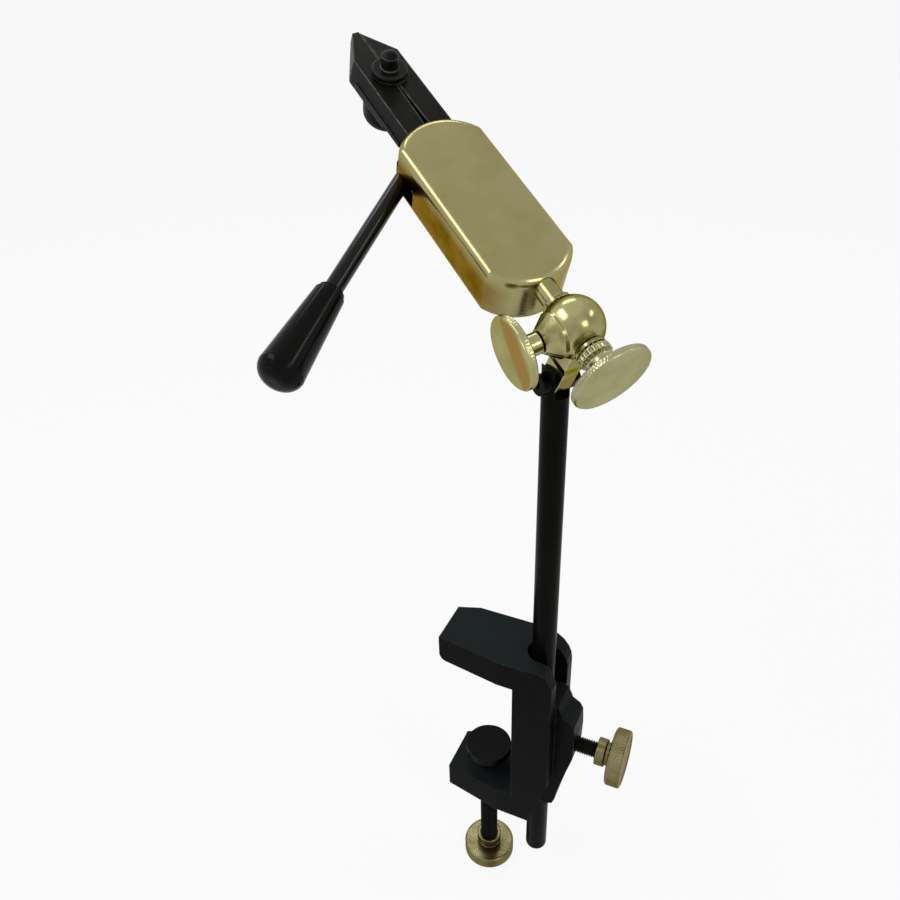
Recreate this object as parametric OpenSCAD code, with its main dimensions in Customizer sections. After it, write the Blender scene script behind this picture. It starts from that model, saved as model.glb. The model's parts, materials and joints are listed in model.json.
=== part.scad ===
// Bench-clamped holding vise with a swivelling rotary head and lever-closed jaws.
// Millimetres, +Z up. Origin: centre of the bench face under the upper clamp arm,
// straight above the clamp screw. The head is drawn in the pose of the photograph.

/* [Bench clamp] */
// Opening between the bench face and the lower arm
throat_h = 65.8; // [30:0.2:150]
// Thickness of the upper arm
arm_t = 12; // [6:0.5:30]
// Front end of the upper arm to the stem axis
arm_reach = 42.1; // [25:0.1:90]
// Front end of the lower arm to the stem axis
lower_reach = 39.5; // [25:0.1:90]
// Clamp screw axis to the stem axis
screw_reach = 24; // [15:0.5:60]
// Half width of both arms at their front ends, right side
arm_tip_right = 9.5; // [5:0.1:20]
// Half width of both arms at their front ends, left side
arm_tip_left = 10.3; // [5:0.1:20]
// Width of the body and of the arms at their roots
body_w = 27; // [16:0.2:60]
// Length over which the arms widen to the body, right side
right_taper_len = 27; // [10:0.5:60]
// Length over which the arms widen to the body, left side
left_taper_len = 9; // [4:0.5:60]
// Rounding under the front end of the upper arm
arm_nose = 3; // [1:0.1:8]
// Front face of the spine to the stem axis
spine_front = 8.3; // [6:0.1:25]
// Stem axis to the rear face of the spine
spine_rear = 8; // [6:0.1:25]
// Stem axis to the rear edge of the top face
top_rear = 4.6; // [2:0.1:20]
// Height of the slope behind the top face
rear_slope_h = 7; // [1:0.5:30]
// Radius of the rounded rear of the upper arm, left side
shoulder_r = 12.7; // [5:0.1:20]
// Thickness of the lower arm at its front end
lower_tip_t = 12; // [4:0.5:30]
// Thickness of the lower arm at its root
lower_root_t = 13.2; // [6:0.1:40]
// Front end of the lower arm to the end of its sloped underside
lower_slope_len = 25; // [8:0.5:60]
// Height of the slope behind the foot of the spine
foot_slope_h = 27; // [5:0.5:60]
// Stem axis to the crest of the rib behind it
rib_reach = 16.5; // [10:0.1:40]
// Bench face down to the top of the rib
rib_drop = 7; // [2:0.5:30]
// Foot of the clamp up to the foot of the rib
rib_raise = 7; // [0:0.5:30]
// Bench face down to the lock screw axis
lock_drop = 35; // [10:0.5:100]
// Width of the rib
rib_w = 13; // [6:0.5:40]
// Bench face down to the foot of the open stem channel
channel_drop = 10; // [5:0.5:60]
// Width of the open stem channel round the stem
channel_w = 13; // [11:0.1:20]
// Width of the open stem channel at the rear
channel_rear_w = 17.4; // [12:0.1:24]

/* [Clamp screw] */
// Diameter of the clamp screw
clamp_screw_d = 8; // [4:0.5:16]
// Diameter of the turned tip that carries the pad
clamp_tip_d = 6; // [3:0.5:12]
// Length of the turned tip inside the pad
clamp_tip_len = 4; // [2:0.5:10]
// Lower arm up to the pad face
pad_raise = 11.8; // [8:0.1:60]
// Diameter of the pad
pad_d = 20; // [10:0.5:40]
// Thickness of the pad plate
pad_t = 3.5; // [1.5:0.5:10]
// Diameter of the collar under the pad
pad_hub_d = 12; // [6:0.5:30]
// Height of the collar under the pad
pad_hub_h = 3.5; // [1.5:0.5:10]
// Foot of the lower arm down to the clamp knob
clamp_knob_below = 39.5; // [10:0.5:120]

/* [Stem] */
// Diameter of the stem
stem_d = 9.525; // [6:0.001:16]
// Bench face down to the free end of the stem
stem_tail = 112; // [40:0.5:250]
// Bench face up to the tilt axis
tilt_h = 133; // [50:0.5:300]
// Tilt axis up to the top of the fork cheeks
fork_above = 5.4; // [3:0.1:15]
// Tilt axis down to the floor of the fork slot
fork_below = 5.2; // [3:0.1:15]
// Width of the fork slot
fork_slot_w = 6.2; // [2:0.1:10]
// Width across the flats outside the fork
fork_flat_w = 9.1; // [5:0.1:16]
// Length of the foot plug at the free end
foot_len = 6; // [3:0.5:20]
// Rounding of the free end
foot_round = 1.6; // [0.5:0.1:5]
// Diameter of the foot plug spigot
foot_spigot_d = 5; // [2:0.5:8]
// Length of the foot plug spigot
foot_spigot_len = 8; // [3:0.5:20]

/* [Knuckle] */
// Diameter of the ball
ball_d = 19.6; // [12:0.1:40]
// Tilt axis up to the ball centre, square to the head shaft
ball_up = 24.45; // [15:0.05:60]
// Ball centre forward of the tilt axis, along the head shaft
ball_ahead = 1.9; // [-5:0.1:10]
// Ball centre to the left of the stem axis
ball_side = 2; // [-5:0.1:5]
// Thickness of the tongue in the fork
tongue_t = 6.1; // [2:0.1:10]
// Width of the tongue along the head
tongue_w = 8.6; // [4:0.1:16]
// Width of the neck block across the head
neck_w = 9.4; // [6:0.1:25]
// Length of the neck block along the head
neck_len = 9.8; // [6:0.1:25]
// Tilt axis up to the foot of the neck shoulders
neck_foot = 8.2; // [5:0.1:20]
// Tilt axis up to the full width of the neck block
neck_full = 12; // [6:0.1:25]
// Diameter of the left boss at its root
side_boss_d = 15; // [8:0.5:25]
// Diameter of the left boss at its face
side_boss_tip_d = 7.8; // [5:0.1:20]
// Ball centre to the start of the cone of the left boss
side_boss_root = 7.5; // [5:0.1:20]
// Ball centre to the face of the left boss
side_boss_reach = 12.2; // [8:0.1:25]
// Dip of the left boss and its screw below the tilt axis
screw_dip_deg = 12.5; // [0:0.1:30]
// Ball centre to the flat at the rear of the ball
ball_rear_flat = 8.9; // [5:0.1:20]
// Ball centre to the flat at the front of the ball
ball_front_flat = 8.6; // [5:0.1:20]

/* [Tilt pivot] */
// Diameter of the tilt pivot screw
pivot_screw_d = 4; // [2:0.1:8]
// Diameter of its round head
pivot_head_d = 7.2; // [4:0.1:14]
// Height of its round head
pivot_head_h = 2.8; // [1:0.1:8]
// Diameter of its hexagon socket
pivot_socket_d = 3; // [1:0.1:6]
// Depth of its hexagon socket
pivot_socket_depth = 1.6; // [0.5:0.1:4]
// Width across the corners of its nut
pivot_nut_d = 8; // [4:0.1:16]
// Thickness of its nut
pivot_nut_t = 3; // [1:0.1:8]

/* [Head shaft] */
// Diameter of the head shaft
shaft_d = 7.6; // [4:0.1:16]
// Diameter of the threaded rear of the head shaft
shaft_thread_d = 6; // [3:0.1:12]
// Length of shaft held in the housing
shaft_seat_len = 11; // [5:0.5:30]
// Diameter of the shaft collar in front of the ball
shaft_collar_d = 9.6; // [5:0.1:20]
// Thickness of the shaft collar
shaft_collar_t = 1.3; // [0.5:0.1:5]
// Diameter of the thrust washer behind the ball
washer_d = 10.4; // [6:0.1:20]
// Thickness of the thrust washer
washer_t = 1; // [0.3:0.1:4]

/* [Thumb knobs] */
// Diameter of the clamp and stem knobs
knob_d = 23.6; // [12:0.1:45]
// Diameter of the rotation lock knob
rotation_knob_d = 24; // [12:0.1:45]
// Diameter of the larger drag knob behind the head
drag_knob_d = 26.6; // [12:0.1:50]
// Thickness of the clamp and stem knob discs
knob_t = 6; // [2:0.1:15]
// Thickness of the two knob discs at the head
head_knob_t = 3; // [1:0.1:10]
// Diameter of the clamp and stem knob hubs
knob_hub_d = 11.4; // [5:0.1:25]
// Length of the clamp and stem knob hubs
knob_hub_len = 6; // [2:0.1:20]
// Bevel at the edges of the knobs
knob_bevel = 0.7; // [0.2:0.1:3]
// Depth of screw held in each knob
knob_grip = 8; // [3:0.5:20]
// Diameter of the stem lock screw
lock_screw_d = 6.8; // [3:0.1:12]
// Stem axis to the hub of the stem lock knob
lock_knob_reach = 25; // [18:0.5:60]
// Diameter of the rotation lock screw
rotation_screw_d = 5; // [3:0.1:12]
// Ball centre to the hub of the rotation lock knob
rotation_knob_reach = 12.6; // [12:0.1:40]
// Diameter of the rotation lock knob hub
rotation_hub_d = 7; // [5:0.1:20]
// Length of the rotation lock knob hub
rotation_hub_len = 6.9; // [2:0.1:20]
// Diameter of the drag knob hub
drag_hub_d = 11; // [6:0.1:25]
// Length of the drag knob hub
drag_hub_len = 9; // [3:0.1:25]

/* [Housing] */
// Ball centre to the rear end of the housing
housing_setback = 16.1; // [10:0.1:50]
// Length of the housing
housing_len = 78; // [40:0.5:160]
// Width of the housing
housing_w = 32; // [20:0.1:80]
// How far each rounded end bulges past the corners
end_bulge = 9.75; // [2:0.05:16]
// Shaft axis up to the top face
housing_top = 4.6; // [2:0.1:20]
// Thickness of the housing with its bottom plate
housing_t = 17.5; // [10:0.1:50]
// Rounding along the top edge
top_round = 3; // [0.5:0.1:6]
// Thickness of the bottom plate
plate_t = 1.7; // [0.5:0.1:5]
// Rounding along the bottom edge
bottom_round = 1.5; // [0.3:0.1:4]
// Diameter of the plate screws
plate_screw_d = 2.5; // [1:0.1:5]
// Diameter of the plate screw heads
plate_screw_head_d = 4.8; // [2:0.1:10]
// Length of the plate screws
plate_screw_len = 7; // [3:0.5:20]
// Housing end to the nearest plate screw
plate_screw_inset = 9; // [4:0.5:30]
// Sideways distance of the rear plate screws from the middle
plate_screw_side = 9.5; // [4:0.1:30]

/* [Jaws] */
// Housing front to the jaw pivot
pivot_ahead = 28.5; // [10:0.1:60]
// Housing front to the shoulders where the jaws narrow
shoulder_ahead = 39.4; // [15:0.1:80]
// Housing front to the jaw tips
tip_ahead = 53.5; // [20:0.1:120]
// Width of the pair of jaws
jaws_w = 17.6; // [8:0.1:40]
// Outward lean of the jaw sides, from the top face down
jaw_draft_deg = 10.5; // [1:0.5:25]
// Width of the tip, which belongs to the left jaw
tips_w = 2.6; // [0.5:0.1:6]
// How far the right jaw stops short of the tip
right_tip_back = 0.9; // [0.3:0.1:4]
// Thickness of the jaws
jaw_t = 5.5; // [3:0.1:15]
// Housing top face down to the jaw top
jaw_drop = 2; // [0.5:0.1:10]
// Thickness left at the tips
tip_t = 3.4; // [0.5:0.1:8]
// Length over which the underside rises to the tips
tip_rise_len = 11.5; // [3:0.5:40]
// Length of the closed nose of the jaws
nose_len = 6; // [1:0.5:20]
// Radius of the lapped discs at the jaw pivot
lap_r = 6; // [3:0.1:15]
// Diameter of the jaw pivot screw
jaw_screw_d = 4.6; // [2:0.1:10]
// Diameter of the washer head on the jaw pivot screw
jaw_head_d = 12.9; // [6:0.1:30]
// Thickness of the washer head
jaw_head_t = 2.4; // [1:0.1:8]
// Diameter of the domed stub above the washer head
jaw_stub_d = 6.2; // [3:0.1:15]
// Height of the domed stub
jaw_stub_h = 6; // [1:0.1:15]
// Height of the dome on the stub
jaw_dome_h = 1.5; // [0.5:0.1:5]
// Diameter of the knob under the jaws
jaw_knob_d = 18.6; // [8:0.1:40]
// Height of the knob under the jaws
jaw_knob_h = 11.4; // [4:0.1:30]
// Rounding at the foot of the knob under the jaws
jaw_knob_round = 4.2; // [0.5:0.1:8]
// Depth of jaw pivot screw in its knob
jaw_screw_grip = 8; // [2:0.5:20]
// Diameter of the jaw opening spring
spring_d = 3; // [1.5:0.1:8]
// Length of the jaw opening spring
spring_len = 6.2; // [3:0.1:14]
// Wire of the jaw opening spring
spring_wire = 0.6; // [0.2:0.05:2]
// Jaw pivot to the spring axis
spring_ahead = 8.6; // [4:0.1:20]

/* [Jaw carrier] */
// Width of the carrier bar
carrier_w = 12; // [6:0.1:30]
// Thickness of the carrier bar
carrier_t = 1.8; // [0.8:0.1:6]
// Housing front to the thicker part of the carrier
keel_ahead = 12.5; // [12:0.5:25]
// How far the thicker part reaches below the bar
keel_t = 1.3; // [0.5:0.1:4]
// Length of carrier bar held inside the housing
carrier_held = 35; // [15:0.5:80]
// Diameter of the carrier screws
carrier_screw_d = 3; // [1.5:0.1:6]
// Diameter of the carrier screw heads
carrier_head_d = 5.4; // [3:0.1:12]
// Height of the carrier screw heads
carrier_head_h = 1.8; // [0.5:0.1:5]
// Length of the carrier screws above the bar
carrier_screw_len = 5; // [2:0.5:12]
// Rear end of the bar to the first carrier screw
carrier_screw_inset = 5; // [3:0.5:20]
// Spacing of the carrier screws
carrier_screw_gap = 9; // [6:0.5:30]

/* [Cam and lever] */
// Housing front back to the cam axis
cam_setback = 8.1; // [5:0.1:30]
// Long half width of the cam lobe
cam_long = 4.6; // [2:0.05:10]
// Short half width of the cam lobe
cam_short = 3.4; // [1.5:0.05:9]
// Diameter of the cam shaft
cam_shaft_d = 6; // [2:0.1:12]
// Diameter of the cam stub pressed into the lobe
cam_stub_d = 4; // [1:0.1:8]
// Diameter of the cam hub
cam_hub_d = 15; // [8:0.1:30]
// Cam axis to the lever socket
crank_len = 11; // [6:0.1:25]
// Diameter of the lever socket
socket_d = 8; // [5:0.1:16]
// Cam axis back to the rear end of the lever slot
slot_setback = 13; // [8:0.5:40]
// Diameter of the lever rod
rod_d = 6.2; // [3:0.1:12]
// Diameter of the rod end inside the socket
rod_tenon_d = 4; // [2:0.1:10]
// Lever socket to the grip
rod_len = 60; // [25:0.5:120]
// Length of rod held in the grip
rod_held = 22; // [8:0.5:50]
// Length of the grip
grip_len = 38; // [20:0.5:90]
// Diameter of the grip at its narrow end
grip_small_d = 8.8; // [6:0.1:20]
// Diameter of the grip at its wide end
grip_big_d = 15; // [8:0.1:30]
// Rounding of the wide end of the grip
grip_round = 5.5; // [1:0.1:10]
// Length of the collar at the narrow end of the grip
grip_collar_len = 1.6; // [0.5:0.1:6]

/* [Pose] */
// Swivel of the head about the stem, measured from +X
swivel_deg = 146.8; // [0:0.1:360]
// Upward tilt of the head
tilt_deg = 27.9; // [-30:0.1:80]
// Roll of the head about its shaft
roll_deg = 8.7; // [-180:0.1:180]
// Direction of the closed lever, from the head axis
lever_deg = 129.2; // [90:0.1:170]
// Angle each jaw swings from closed to open
jaw_swing_deg = 1.5; // [0.5:0.05:4]

/* [Fits] */
// Running clearance on a radius
run_gap = 0.05; // [0.01:0.01:0.1]
// Clearance between faces that slide
face_gap = 0.03; // [0.01:0.01:0.2]
// Free space round parts that swing
free_gap = 0.4; // [0.1:0.05:2]
// Gap between the cam lobe and the jaw arms
cam_gap = 0.09; // [0.02:0.01:0.3]
// Overrun of cutting bodies
cut = 0.5; // [0.1:0.1:2]

/* [Hidden] */
fn_big = 96;
fn_mid = 64;
fn_small = 40;
stem_x = screw_reach;
stem_r = stem_d / 2;
pad_drop = throat_h - pad_raise;
foot_drop = throat_h + lower_root_t;
clamp_knob_drop = foot_drop + clamp_knob_below;
// rib outline: shares of its reach past the spine, and of its height
rib_out_shares = [0, 0.29, 0.41, 0.78, 0.95, 1, 0.965, 0.706, 0.48, 0.26, 0.19, 0.05, -0.29];
rib_down_shares = [0, 0.09, 0.13, 0.16, 0.2, 0.32, 0.48, 0.61, 0.74, 0.85, 0.93, 0.98, 1];
ball_r = ball_d / 2;
housing_front = housing_setback + housing_len;
housing_bottom = housing_top - housing_t;
end_r = (housing_w * housing_w / 4 + end_bulge * end_bulge) / (2 * end_bulge);
jaw_top = housing_top - jaw_drop;
jaw_bottom = jaw_top - jaw_t;
lap_z = (jaw_top + jaw_bottom) / 2;
carrier_top = jaw_bottom - face_gap;
carrier_bottom = carrier_top - carrier_t;
pocket_bottom = housing_bottom + plate_t;
lever_z = (carrier_bottom + pocket_bottom) / 2;
lever_t = carrier_bottom - pocket_bottom - 2 * face_gap;
pivot_x = housing_front + pivot_ahead;
cam_x = housing_front - cam_setback;
arm_len = pivot_x - cam_x;
tip_x = housing_front + tip_ahead;
shoulder_x = housing_front + shoulder_ahead;
arm_end_x = cam_x - cam_long - free_gap;
cam_room_x = cam_x + cam_long + free_gap;
arm_in = cam_long + cam_gap;
slit_grow = tan(jaw_swing_deg);
slit_in = 4 * face_gap;
carrier_x0 = housing_front - carrier_held;
carrier_x1 = pivot_x + lap_r + free_gap;
keel_bottom = carrier_bottom - keel_t;
jaw_front_x = carrier_x1 + free_gap;
flare = (jaw_top - keel_bottom) * tan(jaw_draft_deg);
slot_side = jaws_w / 2 + flare + free_gap;
round_steps = 6;

// Points of a quarter arc: centre c, radius r, from angle a0 to a1.
function arc(c, r, a0, a1, n = round_steps) =
    [for (i = [0:n]) let (a = a0 + (a1 - a0) * i / n) [c[0] + r * cos(a), c[1] + r * sin(a)]];

// The same, or the bare corner where there is no rounding.
function corner(c, r, a0, a1) = r > 0 ? arc(c, r, a0, a1) : [c];

// Mirrored to the right side for s = -1.
module sided(s) {
    if (s < 0) mirror([0, 1, 0]) children();
    else children();
}

// Sideways extrusion: the polygon lies in the XZ plane, centred on Y.
module side_slab(w, pts) {
    rotate([90, 0, 0]) translate([0, 0, -w / 2]) linear_extrude(height = w) polygon(pts);
}

// Lengthwise extrusion: the polygon lies in the YZ plane, from x0 to x1.
module long_bar(x0, x1, pts) {
    translate([x0, 0, 0]) rotate([90, 0, 90]) linear_extrude(height = x1 - x0) polygon(pts);
}

module rod_x(x0, x1, d, fn = fn_small) {
    translate([x0, 0, 0]) rotate([0, 90, 0]) cylinder(h = x1 - x0, d = d, $fn = fn);
}

module rod_y(y0, y1, d, fn = fn_small) {
    translate([0, y0, 0]) rotate([-90, 0, 0]) cylinder(h = y1 - y0, d = d, $fn = fn);
}

module rod_z(z0, z1, d, fn = fn_small) {
    translate([0, 0, z0]) cylinder(h = z1 - z0, d = d, $fn = fn);
}

// Frame of the knuckle: origin on the tilt axis, X along the head, Y to its left.
module knuckle_frame() {
    translate([stem_x, 0, tilt_h]) rotate([0, -tilt_deg, swivel_deg]) children();
}

// The same place before tilting, for the fork and its screw.
module fork_frame() {
    translate([stem_x, 0, tilt_h]) rotate([0, 0, swivel_deg]) children();
}

// Ball centre, still without roll.
module ball_frame() {
    knuckle_frame() translate([ball_ahead, ball_side, ball_up]) children();
}

// Frame of the head: origin at the ball centre, X forward along the shaft, Z up.
module head_frame() {
    ball_frame() rotate([-roll_deg, 0, 0]) children();
}

// Thumb knob: hub from z = 0 upwards, then the disc; blind bore from below.
module thumb_knob(d, t, hub_d, hub_len, bore_d) {
    b = knob_bevel;
    h = hub_len + t;
    rotate_extrude($fn = fn_mid)
        polygon([[bore_d / 2, 0], [hub_d / 2 - b, 0], [hub_d / 2, b],
                 [hub_d / 2, hub_len], [d / 2 - b, hub_len], [d / 2, hub_len + b],
                 [d / 2, h - b], [d / 2 - b, h], [0, h], [0, knob_grip],
                 [bore_d / 2, knob_grip]]);
}

// Screw with a bevelled tip, from z = 0 upwards.
module plain_screw(d, len) {
    b = knob_bevel;
    rotate_extrude($fn = fn_small)
        polygon([[0, 0], [d / 2 - b, 0], [d / 2, b], [d / 2, len], [0, len]]);
}

// Side view of the clamp; its rear top is sloped on the right side, round on the left.
module clamp_profile(rear) {
    z_low = -throat_h;
    polygon(concat(
        [[stem_x - spine_front, 0], [stem_x - spine_front, z_low],
         [stem_x - lower_reach, z_low], [stem_x - lower_reach, z_low - lower_tip_t],
         [stem_x - lower_reach + lower_slope_len, -foot_drop], [stem_x, -foot_drop],
         [stem_x + spine_rear, -foot_drop + foot_slope_h]],
        rear,
        [[stem_x - arm_reach, arm_t]],
        arc([stem_x - arm_reach + arm_nose, arm_nose], arm_nose, 180, 270)));
}

module clamp_frame() {
    z_low = -throat_h;
    w = body_w / 2;
    slope = [[stem_x + spine_rear, arm_t - rear_slope_h], [stem_x + top_rear, arm_t]];
    round_c = [stem_x + spine_rear - shoulder_r, arm_t - shoulder_r];
    rib_h = foot_drop - rib_drop - rib_raise;
    color("dimgray") difference() {
        union() {
            intersection() {
                union() {
                    rotate([90, 0, 0]) linear_extrude(height = w + cut) clamp_profile(slope);
                    rotate([90, 0, 0]) translate([0, 0, -w - cut])
                        linear_extrude(height = w + cut)
                        clamp_profile(arc(round_c, shoulder_r, 0, 90));
                }
                translate([0, 0, -foot_drop])
                    linear_extrude(height = foot_drop + arm_t)
                    polygon([
                        [stem_x - arm_reach, -arm_tip_right],
                        [stem_x - arm_reach + right_taper_len, -w],
                        [stem_x + spine_rear, -w], [stem_x + spine_rear, w],
                        [stem_x - arm_reach + left_taper_len, w],
                        [stem_x - arm_reach, arm_tip_left]]);
            }
            side_slab(rib_w, concat([[stem_x, -rib_drop]],
                [for (i = [0:len(rib_out_shares) - 1])
                    [stem_x + spine_rear + rib_out_shares[i] * (rib_reach - spine_rear),
                     -rib_drop - rib_down_shares[i] * rib_h]],
                [[stem_x, -foot_drop + rib_raise]]));
        }
        translate([stem_x, 0, 0]) {
            rod_z(-foot_drop - cut, arm_t + cut, stem_d + 2 * run_gap, fn_mid);
            rod_z(-channel_drop, arm_t + cut, channel_w, fn_mid);
            translate([0, 0, -channel_drop])
                linear_extrude(height = channel_drop + arm_t + cut)
                polygon([[0, -channel_w / 2], [0, channel_w / 2],
                         [rib_reach, channel_rear_w / 2], [rib_reach, -channel_rear_w / 2]]);
        }
        translate([0, 0, -lock_drop])
            rod_x(stem_x, stem_x + rib_reach + cut, lock_screw_d + 2 * run_gap);
        rod_z(-foot_drop - cut, z_low + cut, clamp_screw_d + 2 * run_gap);
    }
}

module clamp_screw() {
    z1 = -pad_drop - pad_t - pad_hub_h - face_gap;
    z0 = -clamp_knob_drop - knob_grip;
    color("black") union() {
        rod_z(z0, z1, clamp_screw_d);
        rod_z(z1 - cut, z1 + clamp_tip_len, clamp_tip_d);
    }
}

module clamp_knob() {
    color("goldenrod") translate([0, 0, -clamp_knob_drop]) rotate([180, 0, 0])
        thumb_knob(knob_d, knob_t, knob_hub_d, knob_hub_len, clamp_screw_d);
}

module clamp_pad() {
    z0 = -pad_drop - pad_t - pad_hub_h;
    color("dimgray") difference() {
        union() {
            rod_z(-pad_drop - pad_t, -pad_drop, pad_d, fn_mid);
            rod_z(z0, -pad_drop - pad_t + cut, pad_hub_d);
        }
        rod_z(z0 - cut, z0 + clamp_tip_len + face_gap, clamp_tip_d + 2 * run_gap);
    }
}

module stem_lock_screw() {
    x0 = stem_r + face_gap;
    color("black") translate([stem_x + x0, 0, -lock_drop]) rotate([0, 90, 0])
        plain_screw(lock_screw_d, lock_knob_reach + knob_grip - x0);
}

module stem_lock_knob() {
    color("goldenrod") translate([stem_x + lock_knob_reach, 0, -lock_drop])
        rotate([0, 90, 0])
        thumb_knob(knob_d, knob_t, knob_hub_d, knob_hub_len, lock_screw_d);
}

module stem_foot() {
    color("black") translate([stem_x, 0, -stem_tail]) rotate_extrude($fn = fn_mid)
        polygon(concat([[0, 0]], arc([stem_r - foot_round, foot_round], foot_round, -90, 0),
            [[stem_r, foot_len], [foot_spigot_d / 2, foot_len],
             [foot_spigot_d / 2, foot_len + foot_spigot_len],
             [0, foot_len + foot_spigot_len]]));
}

module stem_rod() {
    z0 = -stem_tail + foot_len + face_gap;
    z1 = tilt_h + fork_above;
    color("black") difference() {
        translate([stem_x, 0, 0]) rod_z(z0, z1, stem_d, fn_mid);
        translate([stem_x, 0, 0]) rod_z(z0 - cut,
            -stem_tail + foot_len + foot_spigot_len + face_gap, foot_spigot_d + 2 * run_gap);
        fork_frame() {
            translate([-stem_d, -fork_slot_w / 2, -fork_below])
                cube([2 * stem_d, fork_slot_w, fork_below + fork_above + cut]);
            for (s = [-1, 1]) sided(s) translate([-stem_d, fork_flat_w / 2, -fork_below])
                cube([2 * stem_d, stem_d, fork_below + fork_above + cut]);
            rod_y(-stem_d, stem_d, pivot_screw_d);
        }
    }
}

module tilt_pivot_screw() {
    y1 = fork_flat_w / 2;
    y0 = -y1 - pivot_nut_t;
    color("black") fork_frame() difference() {
        union() {
            rod_y(y0, y1 + cut, pivot_screw_d);
            rod_y(y1, y1 + pivot_head_h, pivot_head_d);
        }
        rod_y(y1 + pivot_head_h - pivot_socket_depth, y1 + pivot_head_h + cut,
            pivot_socket_d, 6);
    }
}

module tilt_pivot_nut() {
    y1 = -fork_flat_w / 2;
    color("black") fork_frame() difference() {
        rod_y(y1 - pivot_nut_t, y1, pivot_nut_d, 6);
        rod_y(y1 - pivot_nut_t - cut, y1 + cut, pivot_screw_d);
    }
}

module knuckle() {
    color("goldenrod") knuckle_frame() difference() {
        union() {
            translate([ball_ahead, ball_side, ball_up]) {
                intersection() {
                    sphere(r = ball_r, $fn = fn_mid);
                    translate([-ball_rear_flat, -ball_r, -ball_r])
                        cube([ball_rear_flat + ball_front_flat, 2 * ball_r, 2 * ball_r]);
                }
                rotate([-90 - screw_dip_deg, 0, 0]) rotate_extrude($fn = fn_mid)
                    polygon([[0, 0], [side_boss_d / 2, 0], [side_boss_d / 2, side_boss_root],
                             [side_boss_tip_d / 2, side_boss_reach], [0, side_boss_reach]]);
            }
            intersection() {
                side_slab(2 * neck_w, [
                    [-tongue_w / 2, 0], [-tongue_w / 2, neck_foot],
                    [-neck_len / 2, neck_full], [-neck_len / 2, ball_up],
                    [neck_len / 2, ball_up], [neck_len / 2, neck_full],
                    [tongue_w / 2, neck_foot], [tongue_w / 2, 0]]);
                long_bar(-neck_len, neck_len, [
                    [-tongue_t / 2, 0], [-tongue_t / 2, neck_foot],
                    [-neck_w / 2, neck_full], [-neck_w / 2, ball_up],
                    [neck_w / 2, ball_up], [neck_w / 2, neck_full],
                    [tongue_t / 2, neck_foot], [tongue_t / 2, 0]]);
            }
            rod_y(-tongue_t / 2, tongue_t / 2, tongue_w);
        }
        rod_y(-tongue_t, tongue_t, pivot_screw_d + 2 * run_gap);
        translate([ball_ahead, ball_side, ball_up]) {
            rod_x(-ball_d, ball_d, shaft_d + 2 * run_gap);
            rotate([-screw_dip_deg, 0, 0])
                rod_y(0, side_boss_reach + cut, rotation_screw_d + 2 * run_gap);
        }
    }
}

// Frame of the rotation lock: Z out along its screw, from the ball centre.
module lock_frame() {
    ball_frame() rotate([-90 - screw_dip_deg, 0, 0]) children();
}

module rotation_lock_screw() {
    z0 = shaft_d / 2 + face_gap;
    color("black") lock_frame() translate([0, 0, z0])
        plain_screw(rotation_screw_d, rotation_knob_reach + knob_grip - z0);
}

module rotation_lock_knob() {
    color("goldenrod") lock_frame() translate([0, 0, rotation_knob_reach])
        thumb_knob(rotation_knob_d, head_knob_t, rotation_hub_d, rotation_hub_len,
            rotation_screw_d);
}

module head_shaft() {
    x_back = -ball_rear_flat - washer_t - knob_grip;
    x_fore = ball_front_flat + face_gap;
    color("goldenrod") head_frame() union() {
        rod_x(x_back, -ball_rear_flat, shaft_thread_d);
        rod_x(-ball_rear_flat, housing_setback + shaft_seat_len, shaft_d);
        rod_x(x_fore, x_fore + shaft_collar_t, shaft_collar_d);
    }
}

module thrust_washer() {
    x1 = -ball_rear_flat - face_gap;
    color("goldenrod") head_frame() difference() {
        rod_x(x1 - washer_t, x1, washer_d);
        rod_x(x1 - washer_t - cut, x1 + cut, shaft_thread_d + 2 * run_gap);
    }
}

module drag_knob() {
    x1 = -ball_rear_flat - washer_t - 2 * face_gap;
    color("goldenrod") head_frame() translate([x1, 0, 0]) rotate([0, -90, 0])
        thumb_knob(drag_knob_d, head_knob_t, drag_hub_d, drag_hub_len,
            shaft_thread_d + 2 * run_gap);
}

// Bar with rounded ends and rounded edges, the shape of the housing.
module housing_blank(z0, z1, r0, r1) {
    w = housing_w / 2;
    xf = housing_front - end_r;
    xr = housing_setback + end_r;
    disc = concat([[0, z0]], corner([end_r - r0, z0 + r0], r0, -90, 0),
        corner([end_r - r1, z1 - r1], r1, 0, 90), [[0, z1]]);
    intersection() {
        long_bar(housing_setback, housing_front, concat(
            corner([w - r0, z0 + r0], r0, -90, 0), corner([w - r1, z1 - r1], r1, 0, 90),
            corner([-w + r1, z1 - r1], r1, 90, 180), corner([-w + r0, z0 + r0], r0, 180, 270)));
        union() {
            translate([xf, 0, 0]) rotate_extrude($fn = fn_big) polygon(disc);
            translate([housing_setback - cut, -w - cut, z0 - cut])
                cube([xf - housing_setback + cut, 2 * (w + cut), z1 - z0 + 2 * cut]);
        }
        union() {
            translate([xr, 0, 0]) rotate_extrude($fn = fn_big) polygon(disc);
            translate([xr, -w - cut, z0 - cut])
                cube([housing_front - xr + cut, 2 * (w + cut), z1 - z0 + 2 * cut]);
        }
    }
}

// Places of the four plate screws: two at the rear, one on each front side.
module at_plate_screws() {
    x0 = housing_setback + plate_screw_inset;
    x1 = carrier_x0 + carrier_screw_inset;
    for (s = [-1, 1]) {
        translate([x0, s * plate_screw_side, 0]) children();
        translate([x1, s * (plate_screw_side + plate_screw_d), 0]) children();
    }
}

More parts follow.
